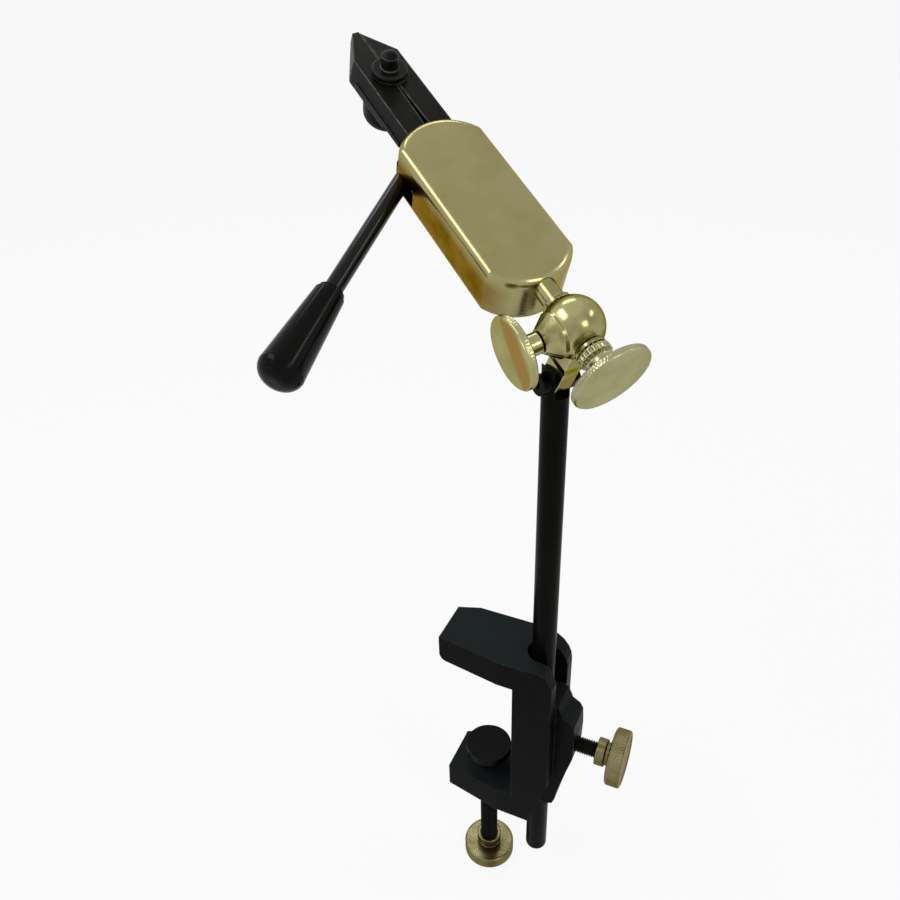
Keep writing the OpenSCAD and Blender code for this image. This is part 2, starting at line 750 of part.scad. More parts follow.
module housing_body() {
    color("khaki") head_frame() difference() {
        housing_blank(pocket_bottom, housing_top, 0, top_round);
        rod_x(housing_setback - cut, housing_setback + shaft_seat_len, shaft_d);
        // slot for the jaw arms
        translate([arm_end_x - free_gap, -slot_side, carrier_bottom])
            cube([housing_len, 2 * slot_side, jaw_top + face_gap - carrier_bottom]);
        // seat of the carrier bar and the room under it
        translate([carrier_x0 - face_gap, -carrier_w / 2 - run_gap, pocket_bottom - cut])
            cube([housing_len, carrier_w + 2 * run_gap, carrier_top - pocket_bottom + cut]);
        // room for the hub and the swinging lever
        translate([cam_x, 0, 0])
            rod_z(pocket_bottom - cut, carrier_bottom, cam_hub_d + 2 * free_gap, fn_mid);
        translate([cam_x - slot_setback, 0, pocket_bottom - cut])
            cube([housing_len, housing_w, carrier_bottom - pocket_bottom + cut]);
        translate([cam_x, -socket_d / 2 - free_gap, pocket_bottom - cut])
            cube([housing_len, housing_w, carrier_bottom - pocket_bottom + cut]);
        translate([carrier_x0 + carrier_screw_inset, 0, 0]) {
            rod_z(carrier_top - cut, carrier_top + carrier_screw_len, carrier_screw_d);
            translate([carrier_screw_gap, 0, 0])
                rod_z(carrier_top - cut, carrier_top + carrier_screw_len, carrier_screw_d);
        }
        at_plate_screws() rod_z(pocket_bottom - cut, housing_bottom + plate_screw_len,
            plate_screw_d);
    }
}

module housing_plate() {
    color("khaki") head_frame() difference() {
        housing_blank(housing_bottom, pocket_bottom, bottom_round, 0);
        translate([cam_x, 0, 0])
            rod_z(housing_bottom - cut, pocket_bottom + cut, cam_shaft_d + 2 * run_gap);
        at_plate_screws() {
            rod_z(housing_bottom - cut, pocket_bottom + cut, plate_screw_d);
            rod_z(housing_bottom - cut, housing_bottom + plate_t / 2, plate_screw_head_d);
        }
    }
}

module plate_screws() {
    color("goldenrod") head_frame() at_plate_screws() {
        rod_z(housing_bottom, housing_bottom + plate_t / 2, plate_screw_head_d);
        rod_z(housing_bottom, housing_bottom + plate_screw_len, plate_screw_d);
    }
}

module jaw_carrier() {
    color("black") head_frame() difference() {
        union() {
            translate([carrier_x0, -carrier_w / 2, carrier_bottom])
                cube([pivot_x - carrier_x0, carrier_w, carrier_t]);
            translate([housing_front + free_gap, -jaws_w / 2 - flare, carrier_bottom])
                cube([carrier_x1 - housing_front - free_gap, jaws_w + 2 * flare, carrier_t]);
            translate([housing_front + keel_ahead, -jaws_w / 2 - flare, keel_bottom])
                cube([carrier_x1 - housing_front - keel_ahead, jaws_w + 2 * flare, keel_t]);
        }
        translate([pivot_x, 0, 0])
            rod_z(keel_bottom - cut, carrier_top + cut, jaw_screw_d);
        translate([cam_x, 0, 0])
            rod_z(carrier_bottom - cut, carrier_top + cut, cam_shaft_d + 2 * run_gap);
        translate([carrier_x0 + carrier_screw_inset, 0, 0]) {
            rod_z(carrier_bottom - cut, carrier_top + cut, carrier_screw_d);
            translate([carrier_screw_gap, 0, 0])
                rod_z(carrier_bottom - cut, carrier_top + cut, carrier_screw_d);
        }
    }
}

module carrier_screws() {
    color("silver") head_frame()
        for (i = [0, 1])
            translate([carrier_x0 + carrier_screw_inset + i * carrier_screw_gap, 0, 0]) {
                rod_z(carrier_bottom - carrier_head_h, carrier_top + carrier_screw_len,
                    carrier_screw_d);
                rod_z(carrier_bottom - carrier_head_h, carrier_bottom, carrier_head_d);
            }
}

module jaw_pivot_screw() {
    z0 = jaw_top + face_gap;
    zs = z0 + jaw_head_t;
    zd = zs + jaw_stub_h - jaw_dome_h;
    r = jaw_stub_d / 2;
    dome_r = (r * r + jaw_dome_h * jaw_dome_h) / (2 * jaw_dome_h);
    color("black") head_frame() translate([pivot_x, 0, 0]) rotate_extrude($fn = fn_mid)
        polygon(concat(
            [[0, keel_bottom - jaw_screw_grip],
             [jaw_screw_d / 2, keel_bottom - jaw_screw_grip], [jaw_screw_d / 2, z0],
             [jaw_head_d / 2, z0]],
            arc([jaw_head_d / 2 - jaw_head_t / 3, zs - jaw_head_t / 3], jaw_head_t / 3, 0, 90),
            [[r, zs]],
            [for (i = [0:round_steps])
                let (a = asin(r / dome_r) * (1 - i / round_steps))
                [dome_r * sin(a), zd + jaw_dome_h - dome_r * (1 - cos(a))]]));
}

module jaw_knob() {
    z1 = keel_bottom - face_gap;
    r = jaw_knob_d / 2;
    b = (jaw_screw_d + 2 * run_gap) / 2;
    z0 = z1 - jaw_knob_h;
    zb = keel_bottom - jaw_screw_grip - face_gap;
    color("black") head_frame() translate([pivot_x, 0, 0]) rotate_extrude($fn = fn_mid)
        polygon(concat([[0, z0]],
            arc([r - jaw_knob_round, z0 + jaw_knob_round], jaw_knob_round, -90, 0),
            [[r, z1 - knob_bevel], [r - knob_bevel, z1], [b, z1], [b, zb], [0, zb]]));
}

// One jaw seen from above, on the side y > 0, before its sides are cut.
module jaw_plan() {
    y_slit = slit_in + (pivot_x - cam_room_x) * slit_grow;
    polygon(concat([
        [tip_x, face_gap], [tip_x, jaws_w / 2 + flare], [arm_end_x, jaws_w / 2 + flare],
        [arm_end_x, arm_in],
        [cam_room_x, arm_in], [cam_room_x, y_slit], [pivot_x, slit_in],
        [tip_x - nose_len, slit_in], [tip_x - nose_len, face_gap]]));
}

// What lies outside a leaning plane through the line from a to b, points of the top face.
module outside(a, b) {
    d = b - a;
    translate([b[0], b[1], jaw_top]) rotate([jaw_draft_deg, 0, atan2(d[1], d[0]) + 180])
        translate([-housing_len, 0, -housing_t])
        cube([2 * housing_len, housing_w, 2 * housing_t]);
}

// One jaw: s = 1 is the left jaw with the upper lap, s = -1 the right jaw below.
module jaw_solid(s) {
    lap_0 = s > 0 ? lap_z + face_gap / 2 : jaw_bottom;
    lap_1 = s > 0 ? jaw_top : lap_z - face_gap / 2;
    cut_0 = s > 0 ? jaw_bottom - cut : lap_z - face_gap / 2;
    cut_1 = s > 0 ? lap_z + face_gap / 2 : jaw_top + cut;
    tip = s > 0 ? [tip_x, tips_w] : [tip_x - right_tip_back, face_gap];
    shoulder = [shoulder_x, jaws_w / 2];
    difference() {
        union() {
            sided(s) translate([0, 0, keel_bottom])
                linear_extrude(height = jaw_top - keel_bottom) jaw_plan();
            translate([pivot_x, 0, 0]) rod_z(lap_0, lap_1, 2 * lap_r, fn_mid);
        }
        sided(s) outside(tip, shoulder);
        sided(s) outside(shoulder, [arm_end_x, jaws_w / 2]);
        translate([arm_end_x - cut, -jaws_w, keel_bottom - cut])
            cube([jaw_front_x - arm_end_x + cut, 2 * jaws_w, jaw_bottom - keel_bottom + cut]);
        translate([pivot_x, 0, 0]) {
            rod_z(cut_0, cut_1, 2 * lap_r + 2 * free_gap, fn_mid);
            rod_z(jaw_bottom - cut, jaw_top + cut, jaw_screw_d + 2 * run_gap);
        }
        side_slab(2 * jaws_w, [
            [tip_x - tip_rise_len, keel_bottom - cut], [tip_x - tip_rise_len, keel_bottom],
            [tip_x, jaw_top - tip_t], [tip_x + cut, jaw_top - tip_t],
            [tip_x + cut, keel_bottom - cut]]);
        translate([pivot_x + spring_ahead, 0, lap_z])
            rod_y(-spring_len / 2 - face_gap, spring_len / 2 + face_gap,
                s > 0 ? spring_d : spring_d + 2 * free_gap, 24);
    }
}

module left_jaw() {
    color("dimgray") head_frame() jaw_solid(1);
}

module right_jaw() {
    color("dimgray") head_frame() jaw_solid(-1);
}

module jaw_spring() {
    turns = floor(spring_len / (2 * spring_wire));
    pitch = spring_len / turns;
    r = spring_d / 2;
    outer = [for (i = [0:2 * turns])
        [r - (i % 2 == 0 ? spring_wire / 2 : 0), i * pitch / 2]];
    color("silver") head_frame()
        translate([pivot_x + spring_ahead, -spring_len / 2, lap_z]) rotate([-90, 0, 0])
        rotate_extrude($fn = 24)
        polygon(concat(outer, [[r - spring_wire, spring_len], [r - spring_wire, 0]]));
}

// Frame of the lever: origin on the cam axis, Y towards the socket.
module lever_frame() {
    head_frame() translate([cam_x, 0, 0]) children();
}

module cam_hub() {
    z0 = lever_z - lever_t / 2;
    z1 = lever_z + lever_t / 2;
    color("black") lever_frame() difference() {
        union() {
            rod_z(z0, z1, cam_hub_d, fn_mid);
            translate([-socket_d / 2, 0, z0]) cube([socket_d, crank_len, lever_t]);
            translate([0, crank_len, 0]) rod_z(z0, z1, socket_d, fn_small);
            rod_z(housing_bottom + face_gap, carrier_top + face_gap, cam_shaft_d);
            rod_z(z1, jaw_top - face_gap, cam_stub_d);
        }
        translate([0, crank_len, lever_z]) rotate([0, 0, lever_deg])
            rod_x(0, 2 * socket_d, rod_tenon_d);
    }
}

// Lens-shaped lobe: the common part of two equal discs.
module cam_lobe() {
    r = (cam_long * cam_long + cam_short * cam_short) / (2 * cam_short);
    z0 = carrier_top + face_gap;
    color("silver") lever_frame() difference() {
        intersection() {
            translate([cam_short - r, 0, 0]) rod_z(z0, jaw_top - face_gap, 2 * r, fn_big);
            translate([r - cam_short, 0, 0]) rod_z(z0, jaw_top - face_gap, 2 * r, fn_big);
        }
        rod_z(z0 - cut, jaw_top + cut, cam_stub_d);
    }
}

module lever_rod() {
    color("black") lever_frame() translate([0, crank_len, lever_z])
        rotate([0, 0, lever_deg]) union() {
            rod_x(0, socket_d, rod_tenon_d);
            rod_x(socket_d / 2, rod_len + rod_held, rod_d);
        }
}

module lever_grip() {
    s = grip_small_d / 2;
    b = grip_big_d / 2;
    color("black") lever_frame() translate([0, crank_len, lever_z])
        rotate([0, 0, lever_deg]) translate([rod_len, 0, 0]) rotate([0, 90, 0])
        rotate_extrude($fn = fn_mid)
        polygon(concat([[rod_d / 2, 0], [s, 0], [s, grip_collar_len],
            [s + knob_bevel, grip_collar_len]],
            arc([b - grip_round, grip_len - grip_round], grip_round, 8, 90),
            [[0, grip_len], [0, rod_held], [rod_d / 2, rod_held]]));
}

clamp_frame();
clamp_screw();
clamp_knob();
clamp_pad();
stem_lock_screw();
stem_lock_knob();
stem_foot();
stem_rod();
tilt_pivot_screw();
tilt_pivot_nut();
knuckle();
rotation_lock_screw();
rotation_lock_knob();
head_shaft();
thrust_washer();
drag_knob();
housing_body();
housing_plate();
plate_screws();
jaw_carrier();
carrier_screws();
jaw_pivot_screw();
jaw_knob();
left_jaw();
right_jaw();
jaw_spring();
cam_hub();
cam_lobe();
lever_rod();
lever_grip();
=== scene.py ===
# %% [markdown]
# # A bench vise with rotating jaws, dressed for its portrait
#
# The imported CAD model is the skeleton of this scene: every bought-in size, bore and joint is
# already right there. What it lacks is what the eye reads first, so this lesson adds it:
# knurled rims, screw threads, a coiled spring, and finishes that answer to light. Lengths are
# metres, as in Blender, but a maker thinks in millimetres, so the shapes below are written in
# millimetres and scaled once, when a mesh is made.

# %% Load the frame
import json
import bmesh
import bpy
import numpy as np
from mathutils import Matrix, Vector


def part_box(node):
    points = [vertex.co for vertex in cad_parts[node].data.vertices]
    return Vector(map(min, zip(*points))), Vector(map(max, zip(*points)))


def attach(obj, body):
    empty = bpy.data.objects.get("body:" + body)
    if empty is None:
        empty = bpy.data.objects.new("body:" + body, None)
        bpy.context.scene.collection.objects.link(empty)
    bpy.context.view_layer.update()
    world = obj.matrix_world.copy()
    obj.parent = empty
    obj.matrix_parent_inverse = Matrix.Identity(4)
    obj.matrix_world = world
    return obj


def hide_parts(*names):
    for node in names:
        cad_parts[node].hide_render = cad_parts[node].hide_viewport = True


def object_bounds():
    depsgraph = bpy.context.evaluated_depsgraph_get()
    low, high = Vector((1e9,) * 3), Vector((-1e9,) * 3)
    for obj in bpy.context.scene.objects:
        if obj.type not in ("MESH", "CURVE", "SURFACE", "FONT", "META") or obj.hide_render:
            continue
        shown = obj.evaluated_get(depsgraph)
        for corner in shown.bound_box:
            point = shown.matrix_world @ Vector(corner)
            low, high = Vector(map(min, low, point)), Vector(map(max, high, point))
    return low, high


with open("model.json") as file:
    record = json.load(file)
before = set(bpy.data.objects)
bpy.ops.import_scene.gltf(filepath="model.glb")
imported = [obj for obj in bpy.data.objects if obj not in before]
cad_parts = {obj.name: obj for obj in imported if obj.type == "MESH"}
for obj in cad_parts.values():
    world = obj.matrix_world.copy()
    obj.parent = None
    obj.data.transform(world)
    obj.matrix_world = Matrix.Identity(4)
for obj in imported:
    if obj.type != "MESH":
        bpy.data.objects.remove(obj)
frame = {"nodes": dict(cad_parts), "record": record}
cad_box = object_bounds()
MM = 0.001      # one millimetre in metres
TO_MM = 1000    # metres to millimetres
nodes = frame["nodes"]

# %% [markdown]
# ## The camera
#
# The photograph looks down on the vise from its right front. The post's edges run together
# towards its foot, which says that the lens was close and fairly wide. A point and a direction
# describe such a camera best; its roll comes from the direction of the picture's right side.

# %% Camera
EYE = Vector((0.0992, -0.2367, 0.2590))
LOOK = Vector((-0.3695, 0.7671, -0.5245)).normalized()
RIGHT = Vector((0.908, 0.419, -0.0265))
PICTURE, FOCAL_PIXELS, SENSOR = 900, 850, 36

right = (RIGHT - LOOK * RIGHT.dot(LOOK)).normalized()
up = right.cross(LOOK)
camera = bpy.data.objects.new("portrait_camera", bpy.data.cameras.new("portrait_camera"))
camera.data.sensor_width = SENSOR
camera.data.lens = SENSOR * FOCAL_PIXELS / PICTURE
camera.data.clip_start, camera.data.clip_end = 0.01, 20
camera.matrix_world = Matrix((
    (right.x, up.x, -LOOK.x, EYE.x), (right.y, up.y, -LOOK.y, EYE.y),
    (right.z, up.z, -LOOK.z, EYE.z), (0, 0, 0, 1)))
bpy.context.scene.collection.objects.link(camera)
bpy.context.scene.camera = camera
print("lens", round(camera.data.lens, 1), "mm")

# %% [markdown]
# ## Shader sums that read like sums
#
# A material is a small calculation. Blender draws it as boxes and wires, but a wire can be
# wrapped in a Python object whose plus and times signs add the Math boxes. The reflected
# minus makes `1 - mask` work too.

# %% Wires
class Wire:
    """One output socket; arithmetic on it adds Math nodes."""
    def __init__(self, finish, socket):
        self.finish, self.socket = finish, socket

    def math(self, operation, *values, clamp=False):
        return self.finish.node("Math", {"operation": operation, "use_clamp": clamp},
                                dict(enumerate(values)))

    def __add__(self, other): return self.math("ADD", self, other)
    def __sub__(self, other): return self.math("SUBTRACT", self, other)
    def __rsub__(self, other): return self.math("SUBTRACT", other, self)
    def __mul__(self, other): return self.math("MULTIPLY", self, other)
    def __truediv__(self, other): return self.math("DIVIDE", self, other)
    def clip(self): return self.math("MULTIPLY", self, 1.0, clamp=True)


print("wires can be added, subtracted, multiplied and divided")

# %% [markdown]
# ## One shader for every finish
#
# Paint, plating and bare metal all fit one Principled shader. They differ in what feeds it:
# noise for unevenness, a mask on worn edges, and a mask on the side that faces a direction.
# Each of these is a method here, so that a finish below reads as a short recipe.

# %% Finishes
NOISE_LOW, NOISE_HIGH = 0.3, 0.7    # most of a noise lies between these
BEVEL_SAMPLES = 6
EDGE_GAIN = 9.0                     # a normal bent by 27 degrees counts as fully worn


class Finish:
    """A material with one Principled shader, and the nodes that feed it."""
    def __init__(self, name):
        self.material = bpy.data.materials.new(name)
        self.material.use_nodes = True
        self.tree = self.material.node_tree
        self.shader = self.tree.nodes["Principled BSDF"]
        place = self.node("TexCoord", {}, {}, "Object")
        self.place = self.node("VectorMath", {"operation": "SCALE"}, {0: place, "Scale": TO_MM})

    def link(self, value, socket):
        if isinstance(value, Wire):
            self.tree.links.new(value.socket, socket)
        elif isinstance(value, (tuple, list)) and socket.type == "RGBA":
            socket.default_value = (*value[:3], 1)
        else:
            socket.default_value = value

    def node(self, kind, settings=None, values=None, output=0):
        """Adds a node of any kind: settings first, then values or wires for its sockets."""
        box = self.tree.nodes.new("ShaderNode" + kind)
        for key, value in (settings or {}).items():
            if key == "stops":
                ramp = box.color_ramp
                for element, (at, grey) in zip(ramp.elements, value):
                    element.position, element.color = at, (grey, grey, grey, 1)
                for at, grey in value[2:]:
                    ramp.elements.new(at).color = (grey, grey, grey, 1)
            else:
                setattr(box, key, value)
        for key, value in (values or {}).items():
            self.link(value, box.inputs[key])
        return Wire(self, box.outputs[output])

    def noise(self, size_mm, detail, stretch=(1, 1, 1)):
        """Soft noise whose features are about size_mm across, stretched along any axis."""
        at = self.node("Mapping", {}, {"Vector": self.place, "Scale": tuple(
            1 / (size_mm * s) for s in stretch)})
        return self.node("TexNoise", {}, {"Vector": at, "Scale": 1.0, "Detail": detail})

    def ramp(self, value, *stops):
        """Turns a value into another by straight pieces: stops are (position, grey)."""
        return self.node("ValToRGB", {"stops": stops}, {0: value})

    def spread(self, noise, low=0.0, high=1.0):
        """Stretches a noise, which keeps near its middle, to run from low to high."""
        return self.ramp(noise, (NOISE_LOW, low), (NOISE_HIGH, high))

    def blend(self, mask, first, second):
        """First colour where the mask is 0, second where it is 1."""
        return self.node("Mix", {"data_type": "RGBA"}, {0: mask, 6: first, 7: second}, 2)

    def facing(self, direction, start, full):
        """1 where the surface faces a direction, 0 where it doesn't: stops on the cosine."""
        normal = self.node("TexCoord", {}, {}, "Normal")
        cosine = self.node("VectorMath", {"operation": "DOT_PRODUCT"},
                           {0: normal, 1: tuple(float(d) for d in direction)}, 1)
        return self.ramp(cosine, (start, 0.0), (full, 1.0))

    def edges(self, width_mm):
        """Returns the rounded normal near sharp edges, and a mask that is 1 on them."""
        soft = self.node("Bevel", {"samples": BEVEL_SAMPLES}, {"Radius": width_mm * MM})
        flat = self.node("NewGeometry", {}, {}, "Normal")
        along = self.node("VectorMath", {"operation": "DOT_PRODUCT"}, {0: soft, 1: flat}, 1)
        return soft, ((1 - along) * EDGE_GAIN).clip()

    def finish(self, colour, roughness, metallic, height, depth_mm, normal, **more):
        """Wires the Principled shader; height in the range 0 to 1 becomes bump."""
        bump = self.node("Bump", {}, {"Height": height, "Distance": depth_mm * MM,
                                      "Strength": 1.0, "Normal": normal})
        values = {"Base Color": colour, "Roughness": roughness, "Metallic": metallic,
                  "Normal": bump, **more}
        for key, value in values.items():
            self.link(value, self.shader.inputs[key.replace("_", " ")])
        return self.material


def wear(items, material):
    """Gives a material to each item: a new piece, or the name of a CAD node."""
    for item in items:
        piece = nodes[item] if isinstance(item, str) else item
        piece.data.materials.clear()
        piece.data.materials.append(material)


print("finishes ready")

# %% [markdown]
# ## Where the head sits
#
# The head is tilted, swung and rolled, so its pieces are easiest to place in its own frame:
# ahead along the shaft, left, and up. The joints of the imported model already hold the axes:
# the head's shaft axis, the lock screw's axis and the jaw pivot's.

# %% The head's own directions
joints = {joint["name"]: joint for joint in frame["record"]["behaviour"]["joints"]}


def axis_of(name):
    """Unit direction and a point, in mm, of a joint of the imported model."""
    joint = joints[name]
    d = np.array(joint["axis"], float)
    return d / np.linalg.norm(d), np.array(joint["pos_m"], float) * TO_MM


ahead, ball = axis_of("head_rotation")
head_up, _ = axis_of("left_jaw_swing")
left = np.cross(head_up, ahead)
lock_axis, _ = axis_of("rotation_lock_turn")
print("ball centre", np.round(ball, 1), "ahead", np.round(ahead, 3))

# %% [markdown]
# ## Black finishes
#
# The clamp is a casting under satin black paint, a little uneven, and rubbed greyer where hands
# and benches touch its edges. The post and screws are blackened steel, smoother and drawn
# lengthwise. The lever is dipped in gloss black. All three are dark, so roughness does the
# talking: a colour step would hardly show. A real paint mirrors 4% of a white room, which greys
# a picture like this one, so the specular level is set far below a paint's 0.5. That suits this
# portrait and would look flat in other light.

# %% Black finishes
PAINT_SPECULAR, STEEL_SPECULAR, JAW_SPECULAR = 0.03, 0.035, 0.045
ROD_SPECULAR, GRIP_SPECULAR = 0.17, 0.07
UP = (0, 0, 1)


def casting_black():
    dark, light = (0.0024, 0.0022, 0.0018), (0.0045, 0.0050, 0.0045)
    # The third colour is a dust grey that also paints light onto up-facing faces.
    dust_and_painted_light, bare = (0.0125, 0.0170, 0.0178), (0.050, 0.053, 0.052)
    f = Finish("casting_black")
    soft, rubbed = f.edges(0.9)
    mottle = f.noise(6.0, 4.0)
    grain = f.noise(0.5, 2.0)
    worn = (rubbed * f.ramp(f.noise(2.5, 5.0), (0.42, 0.1), (0.68, 1.0))).clip()
    # Dust and painted top light: faces that point up are lightened, as if lit from above.
    dust_and_top_light = f.facing(UP, 0.35, 0.95) * f.ramp(mottle, (0.2, 0.75), (0.7, 1.0))
    colour = f.blend(f.spread(mottle), dark, light)
    colour = f.blend(dust_and_top_light, colour, dust_and_painted_light)
    colour = f.blend(worn * 0.55, colour, bare)
    rough = f.ramp(mottle, (0.25, 0.36), (0.75, 0.50))
    return f.finish(colour, rough, 0.0, height=grain * 0.6 + mottle * 0.4, depth_mm=0.03,
                    normal=soft, Specular_IOR_Level=PAINT_SPECULAR)


def blackened_steel():
    dark, light, bare = (0.0016, 0.0016, 0.0011), (0.0042, 0.0042, 0.0034), (0.060, 0.058, 0.054)
    drawn = (1, 1, 30)
    f = Finish("blackened_steel")
    soft, rubbed = f.edges(0.45)
    streak = f.noise(0.5, 3.0, drawn)
    colour = f.blend(f.noise(9.0, 3.0), dark, light)
    colour = f.blend(rubbed * 0.5, colour, bare)
    return f.finish(colour, f.spread(streak, 0.24, 0.36), 0.0, height=streak, depth_mm=0.004,
                    normal=soft, Specular_IOR_Level=STEEL_SPECULAR)


def jaw_gunmetal():
    dark, light = (0.0034, 0.0029, 0.0018), (0.0060, 0.0058, 0.0048)
    # The first colour is a dust grey that also paints light onto faces turned up and to the left.
    dust_and_painted_light, bare = (0.0125, 0.0165, 0.0172), (0.250, 0.250, 0.238)
    upper_left = 0.75 * head_up + 0.66 * left
    f = Finish("jaw_gunmetal")
    soft, rubbed = f.edges(0.85)
    cloud = f.noise(5.0, 4.0)
    pits = f.noise(0.45, 2.0)
    colour = f.blend(f.spread(cloud), dark, light)
    # Dust and painted light: faces turned up and to the head's left are lightened.
    colour = f.blend(f.facing(upper_left, 0.75, 1.0), colour, dust_and_painted_light)
    worn = (rubbed * f.ramp(f.noise(3.0, 5.0), (0.35, 0.35), (0.62, 1.0))).clip()
    colour = f.blend(worn * 0.8, colour, bare)
    return f.finish(colour, f.spread(pits, 0.30, 0.44), 0.0, height=pits, depth_mm=0.010,
                    normal=soft, Specular_IOR_Level=JAW_SPECULAR)


def lever_gloss(name, level):
    gloss, bare = (0.0022, 0.0030, 0.0019), (0.035, 0.035, 0.033)
    f = Finish(name)
    soft, rubbed = f.edges(0.35)
    smear = f.noise(7.0, 4.0)
    colour = f.blend(rubbed * 0.4, gloss, bare)
    return f.finish(colour, f.spread(smear, 0.10, 0.18), 0.0, height=smear, depth_mm=0.012,
                    normal=soft, Specular_IOR_Level=level)


wear(["clamp_frame"], casting_black())
steel = blackened_steel()
wear(["clamp_pad", "stem_foot", "stem_rod", "tilt_pivot_screw", "tilt_pivot_nut",
      "rotation_lock_screw", "jaw_carrier", "cam_hub"], steel)
wear(["left_jaw", "right_jaw", "jaw_pivot_screw", "jaw_knob"], jaw_gunmetal())
wear(["lever_rod"], lever_gloss("rod_gloss", ROD_SPECULAR))
wear(["lever_grip"], lever_gloss("grip_gloss", GRIP_SPECULAR))
print("black finishes on 15 nodes")

# %% [markdown]
# ## Brass
#
# The ball is polished, and the knobs are turned and left satin. A metal has no colour but its
# reflection's, so the base colour is the tint it gives to white. Lathe marks run round the
# axis; on a small knob a fine noise does for them, since at this scale only the break in the
# gloss shows. The lock knob's warm crescent is a painted reflection, which stays put where a
# real reflection would move with the viewer.

# %% Brass finishes
# The second value is the brown tint of the painted reflection on the lock knob.
BRASS_EDGE, BRASS_REFLECTION_TINT = 0.35, (0.355, 0.200, 0.085)
LOCK_KNOB_AT = 12.6     # mm from the ball's centre to the lock knob's hub
LOCK_KNOB = dict(d=24.0, t=3.0, hub_d=7.0, hub_len=6.9, bore_d=5.02, dish=0.0)


def brass(name, tint, deep, rough, grain_mm, grain_depth, glance=(0.42, 0.36, 0.22), band=None):
    """A brass with cloudy tarnish between two tints, and a fine grain in its gloss.

    `glance`, the Specular Tint, is the share reflected at a glancing angle: a clean metal turns
    white there, and a handled one stays brown. `band` paints a warm reflection over the plain
    finish."""
    f = Finish(name)
    soft, rubbed = f.edges(BRASS_EDGE)
    tarnish = f.ramp(f.noise(8.0, 5.0), (0.35, 0.0), (0.7, 1.0))
    grain = f.noise(grain_mm, 2.0)
    colour = f.blend(tarnish, tint, deep)
    if band:
        # Paints a warm reflection over the plain finish where the band's mask is 1.
        colour = f.blend(band(f), colour, BRASS_REFLECTION_TINT)
    polished = tuple(1.5 * c + 0.08 for c in tint)
    colour = f.blend(rubbed * 0.7, colour, polished)
    return f.finish(colour, f.spread(grain, *rough), 1.0, height=grain, depth_mm=grain_depth,
                    normal=soft, Specular_Tint=glance)


def painted_reflection_crescent(f):
    """A painted warm reflection: a crescent over the lock knob's face, from its middle to near
    the rear rim, in mm.
    """
    up_share, back_share = 0.75, 0.65
    across = (up_share * head_up - back_share * ahead) / np.hypot(up_share, back_share)
    face_at = LOCK_KNOB_AT + LOCK_KNOB["hub_len"] + LOCK_KNOB["t"]
    middle = float((ball + face_at * lock_axis) @ across)
    way = f.node("VectorMath", {"operation": "DOT_PRODUCT"},
                 {0: f.place, 1: tuple(float(c) for c in across)}, 1) - middle
    crescent = f.ramp(way / LOCK_KNOB["d"] + 0.5,
                      (0.50, 0.0), (0.58, 0.9), (0.84, 0.9), (0.93, 0.0))
    return crescent * f.facing(lock_axis, 0.8, 0.95)


ball_brass = brass("ball_brass", tint=(0.420, 0.400, 0.190), deep=(0.185, 0.163, 0.068),
                   rough=(0.15, 0.22), grain_mm=0.8, grain_depth=0.002)
knob_brass = brass("knob_brass", tint=(0.38, 0.375, 0.222), deep=(0.30, 0.290, 0.150),
                   rough=(0.22, 0.34), grain_mm=0.5, grain_depth=0.005,
                   glance=(0.72, 0.70, 0.52))
bench_brass = brass("bench_brass", tint=(0.195, 0.176, 0.085), deep=(0.095, 0.080, 0.032),
                    rough=(0.24, 0.38), grain_mm=0.5, grain_depth=0.006,
                    glance=(0.66, 0.60, 0.42))
# The lock knob's brass, with a painted warm reflection in a crescent on its face.
brass_with_painted_reflection = brass("brass_with_painted_reflection", tint=(0.42, 0.41, 0.215), deep=(0.31, 0.30, 0.130),
                      rough=(0.16, 0.26), grain_mm=0.5, grain_depth=0.004,
                      glance=(0.60, 0.56, 0.38), band=painted_reflection_crescent)
wear(["knuckle", "head_shaft", "thrust_washer", "plate_screws"], ball_brass)
print("four brasses, on 4 nodes and on the knobs below")

# %% [markdown]
# ## Steel and plating
#
# The small screws and the cam are bare steel. The housing is plated, and its sides carry a
# painted warm reflection that makes them warmer and darker than its top. The top's tint is left
# as it is, and the sides get a painted brown reflection that fades out a little above the
# shaft's height.

# %% Steel and plating
def bright_steel():
    dull, clean = (0.46, 0.46, 0.45), (0.62, 0.62, 0.61)
    f = Finish("bright_steel")
    soft, _ = f.edges(0.25)
    grain = f.noise(0.4, 2.0)
    return f.finish(f.blend(grain, dull, clean), f.spread(grain, 0.2, 0.34), 1.0, height=grain,
                    depth_mm=0.003, normal=soft)


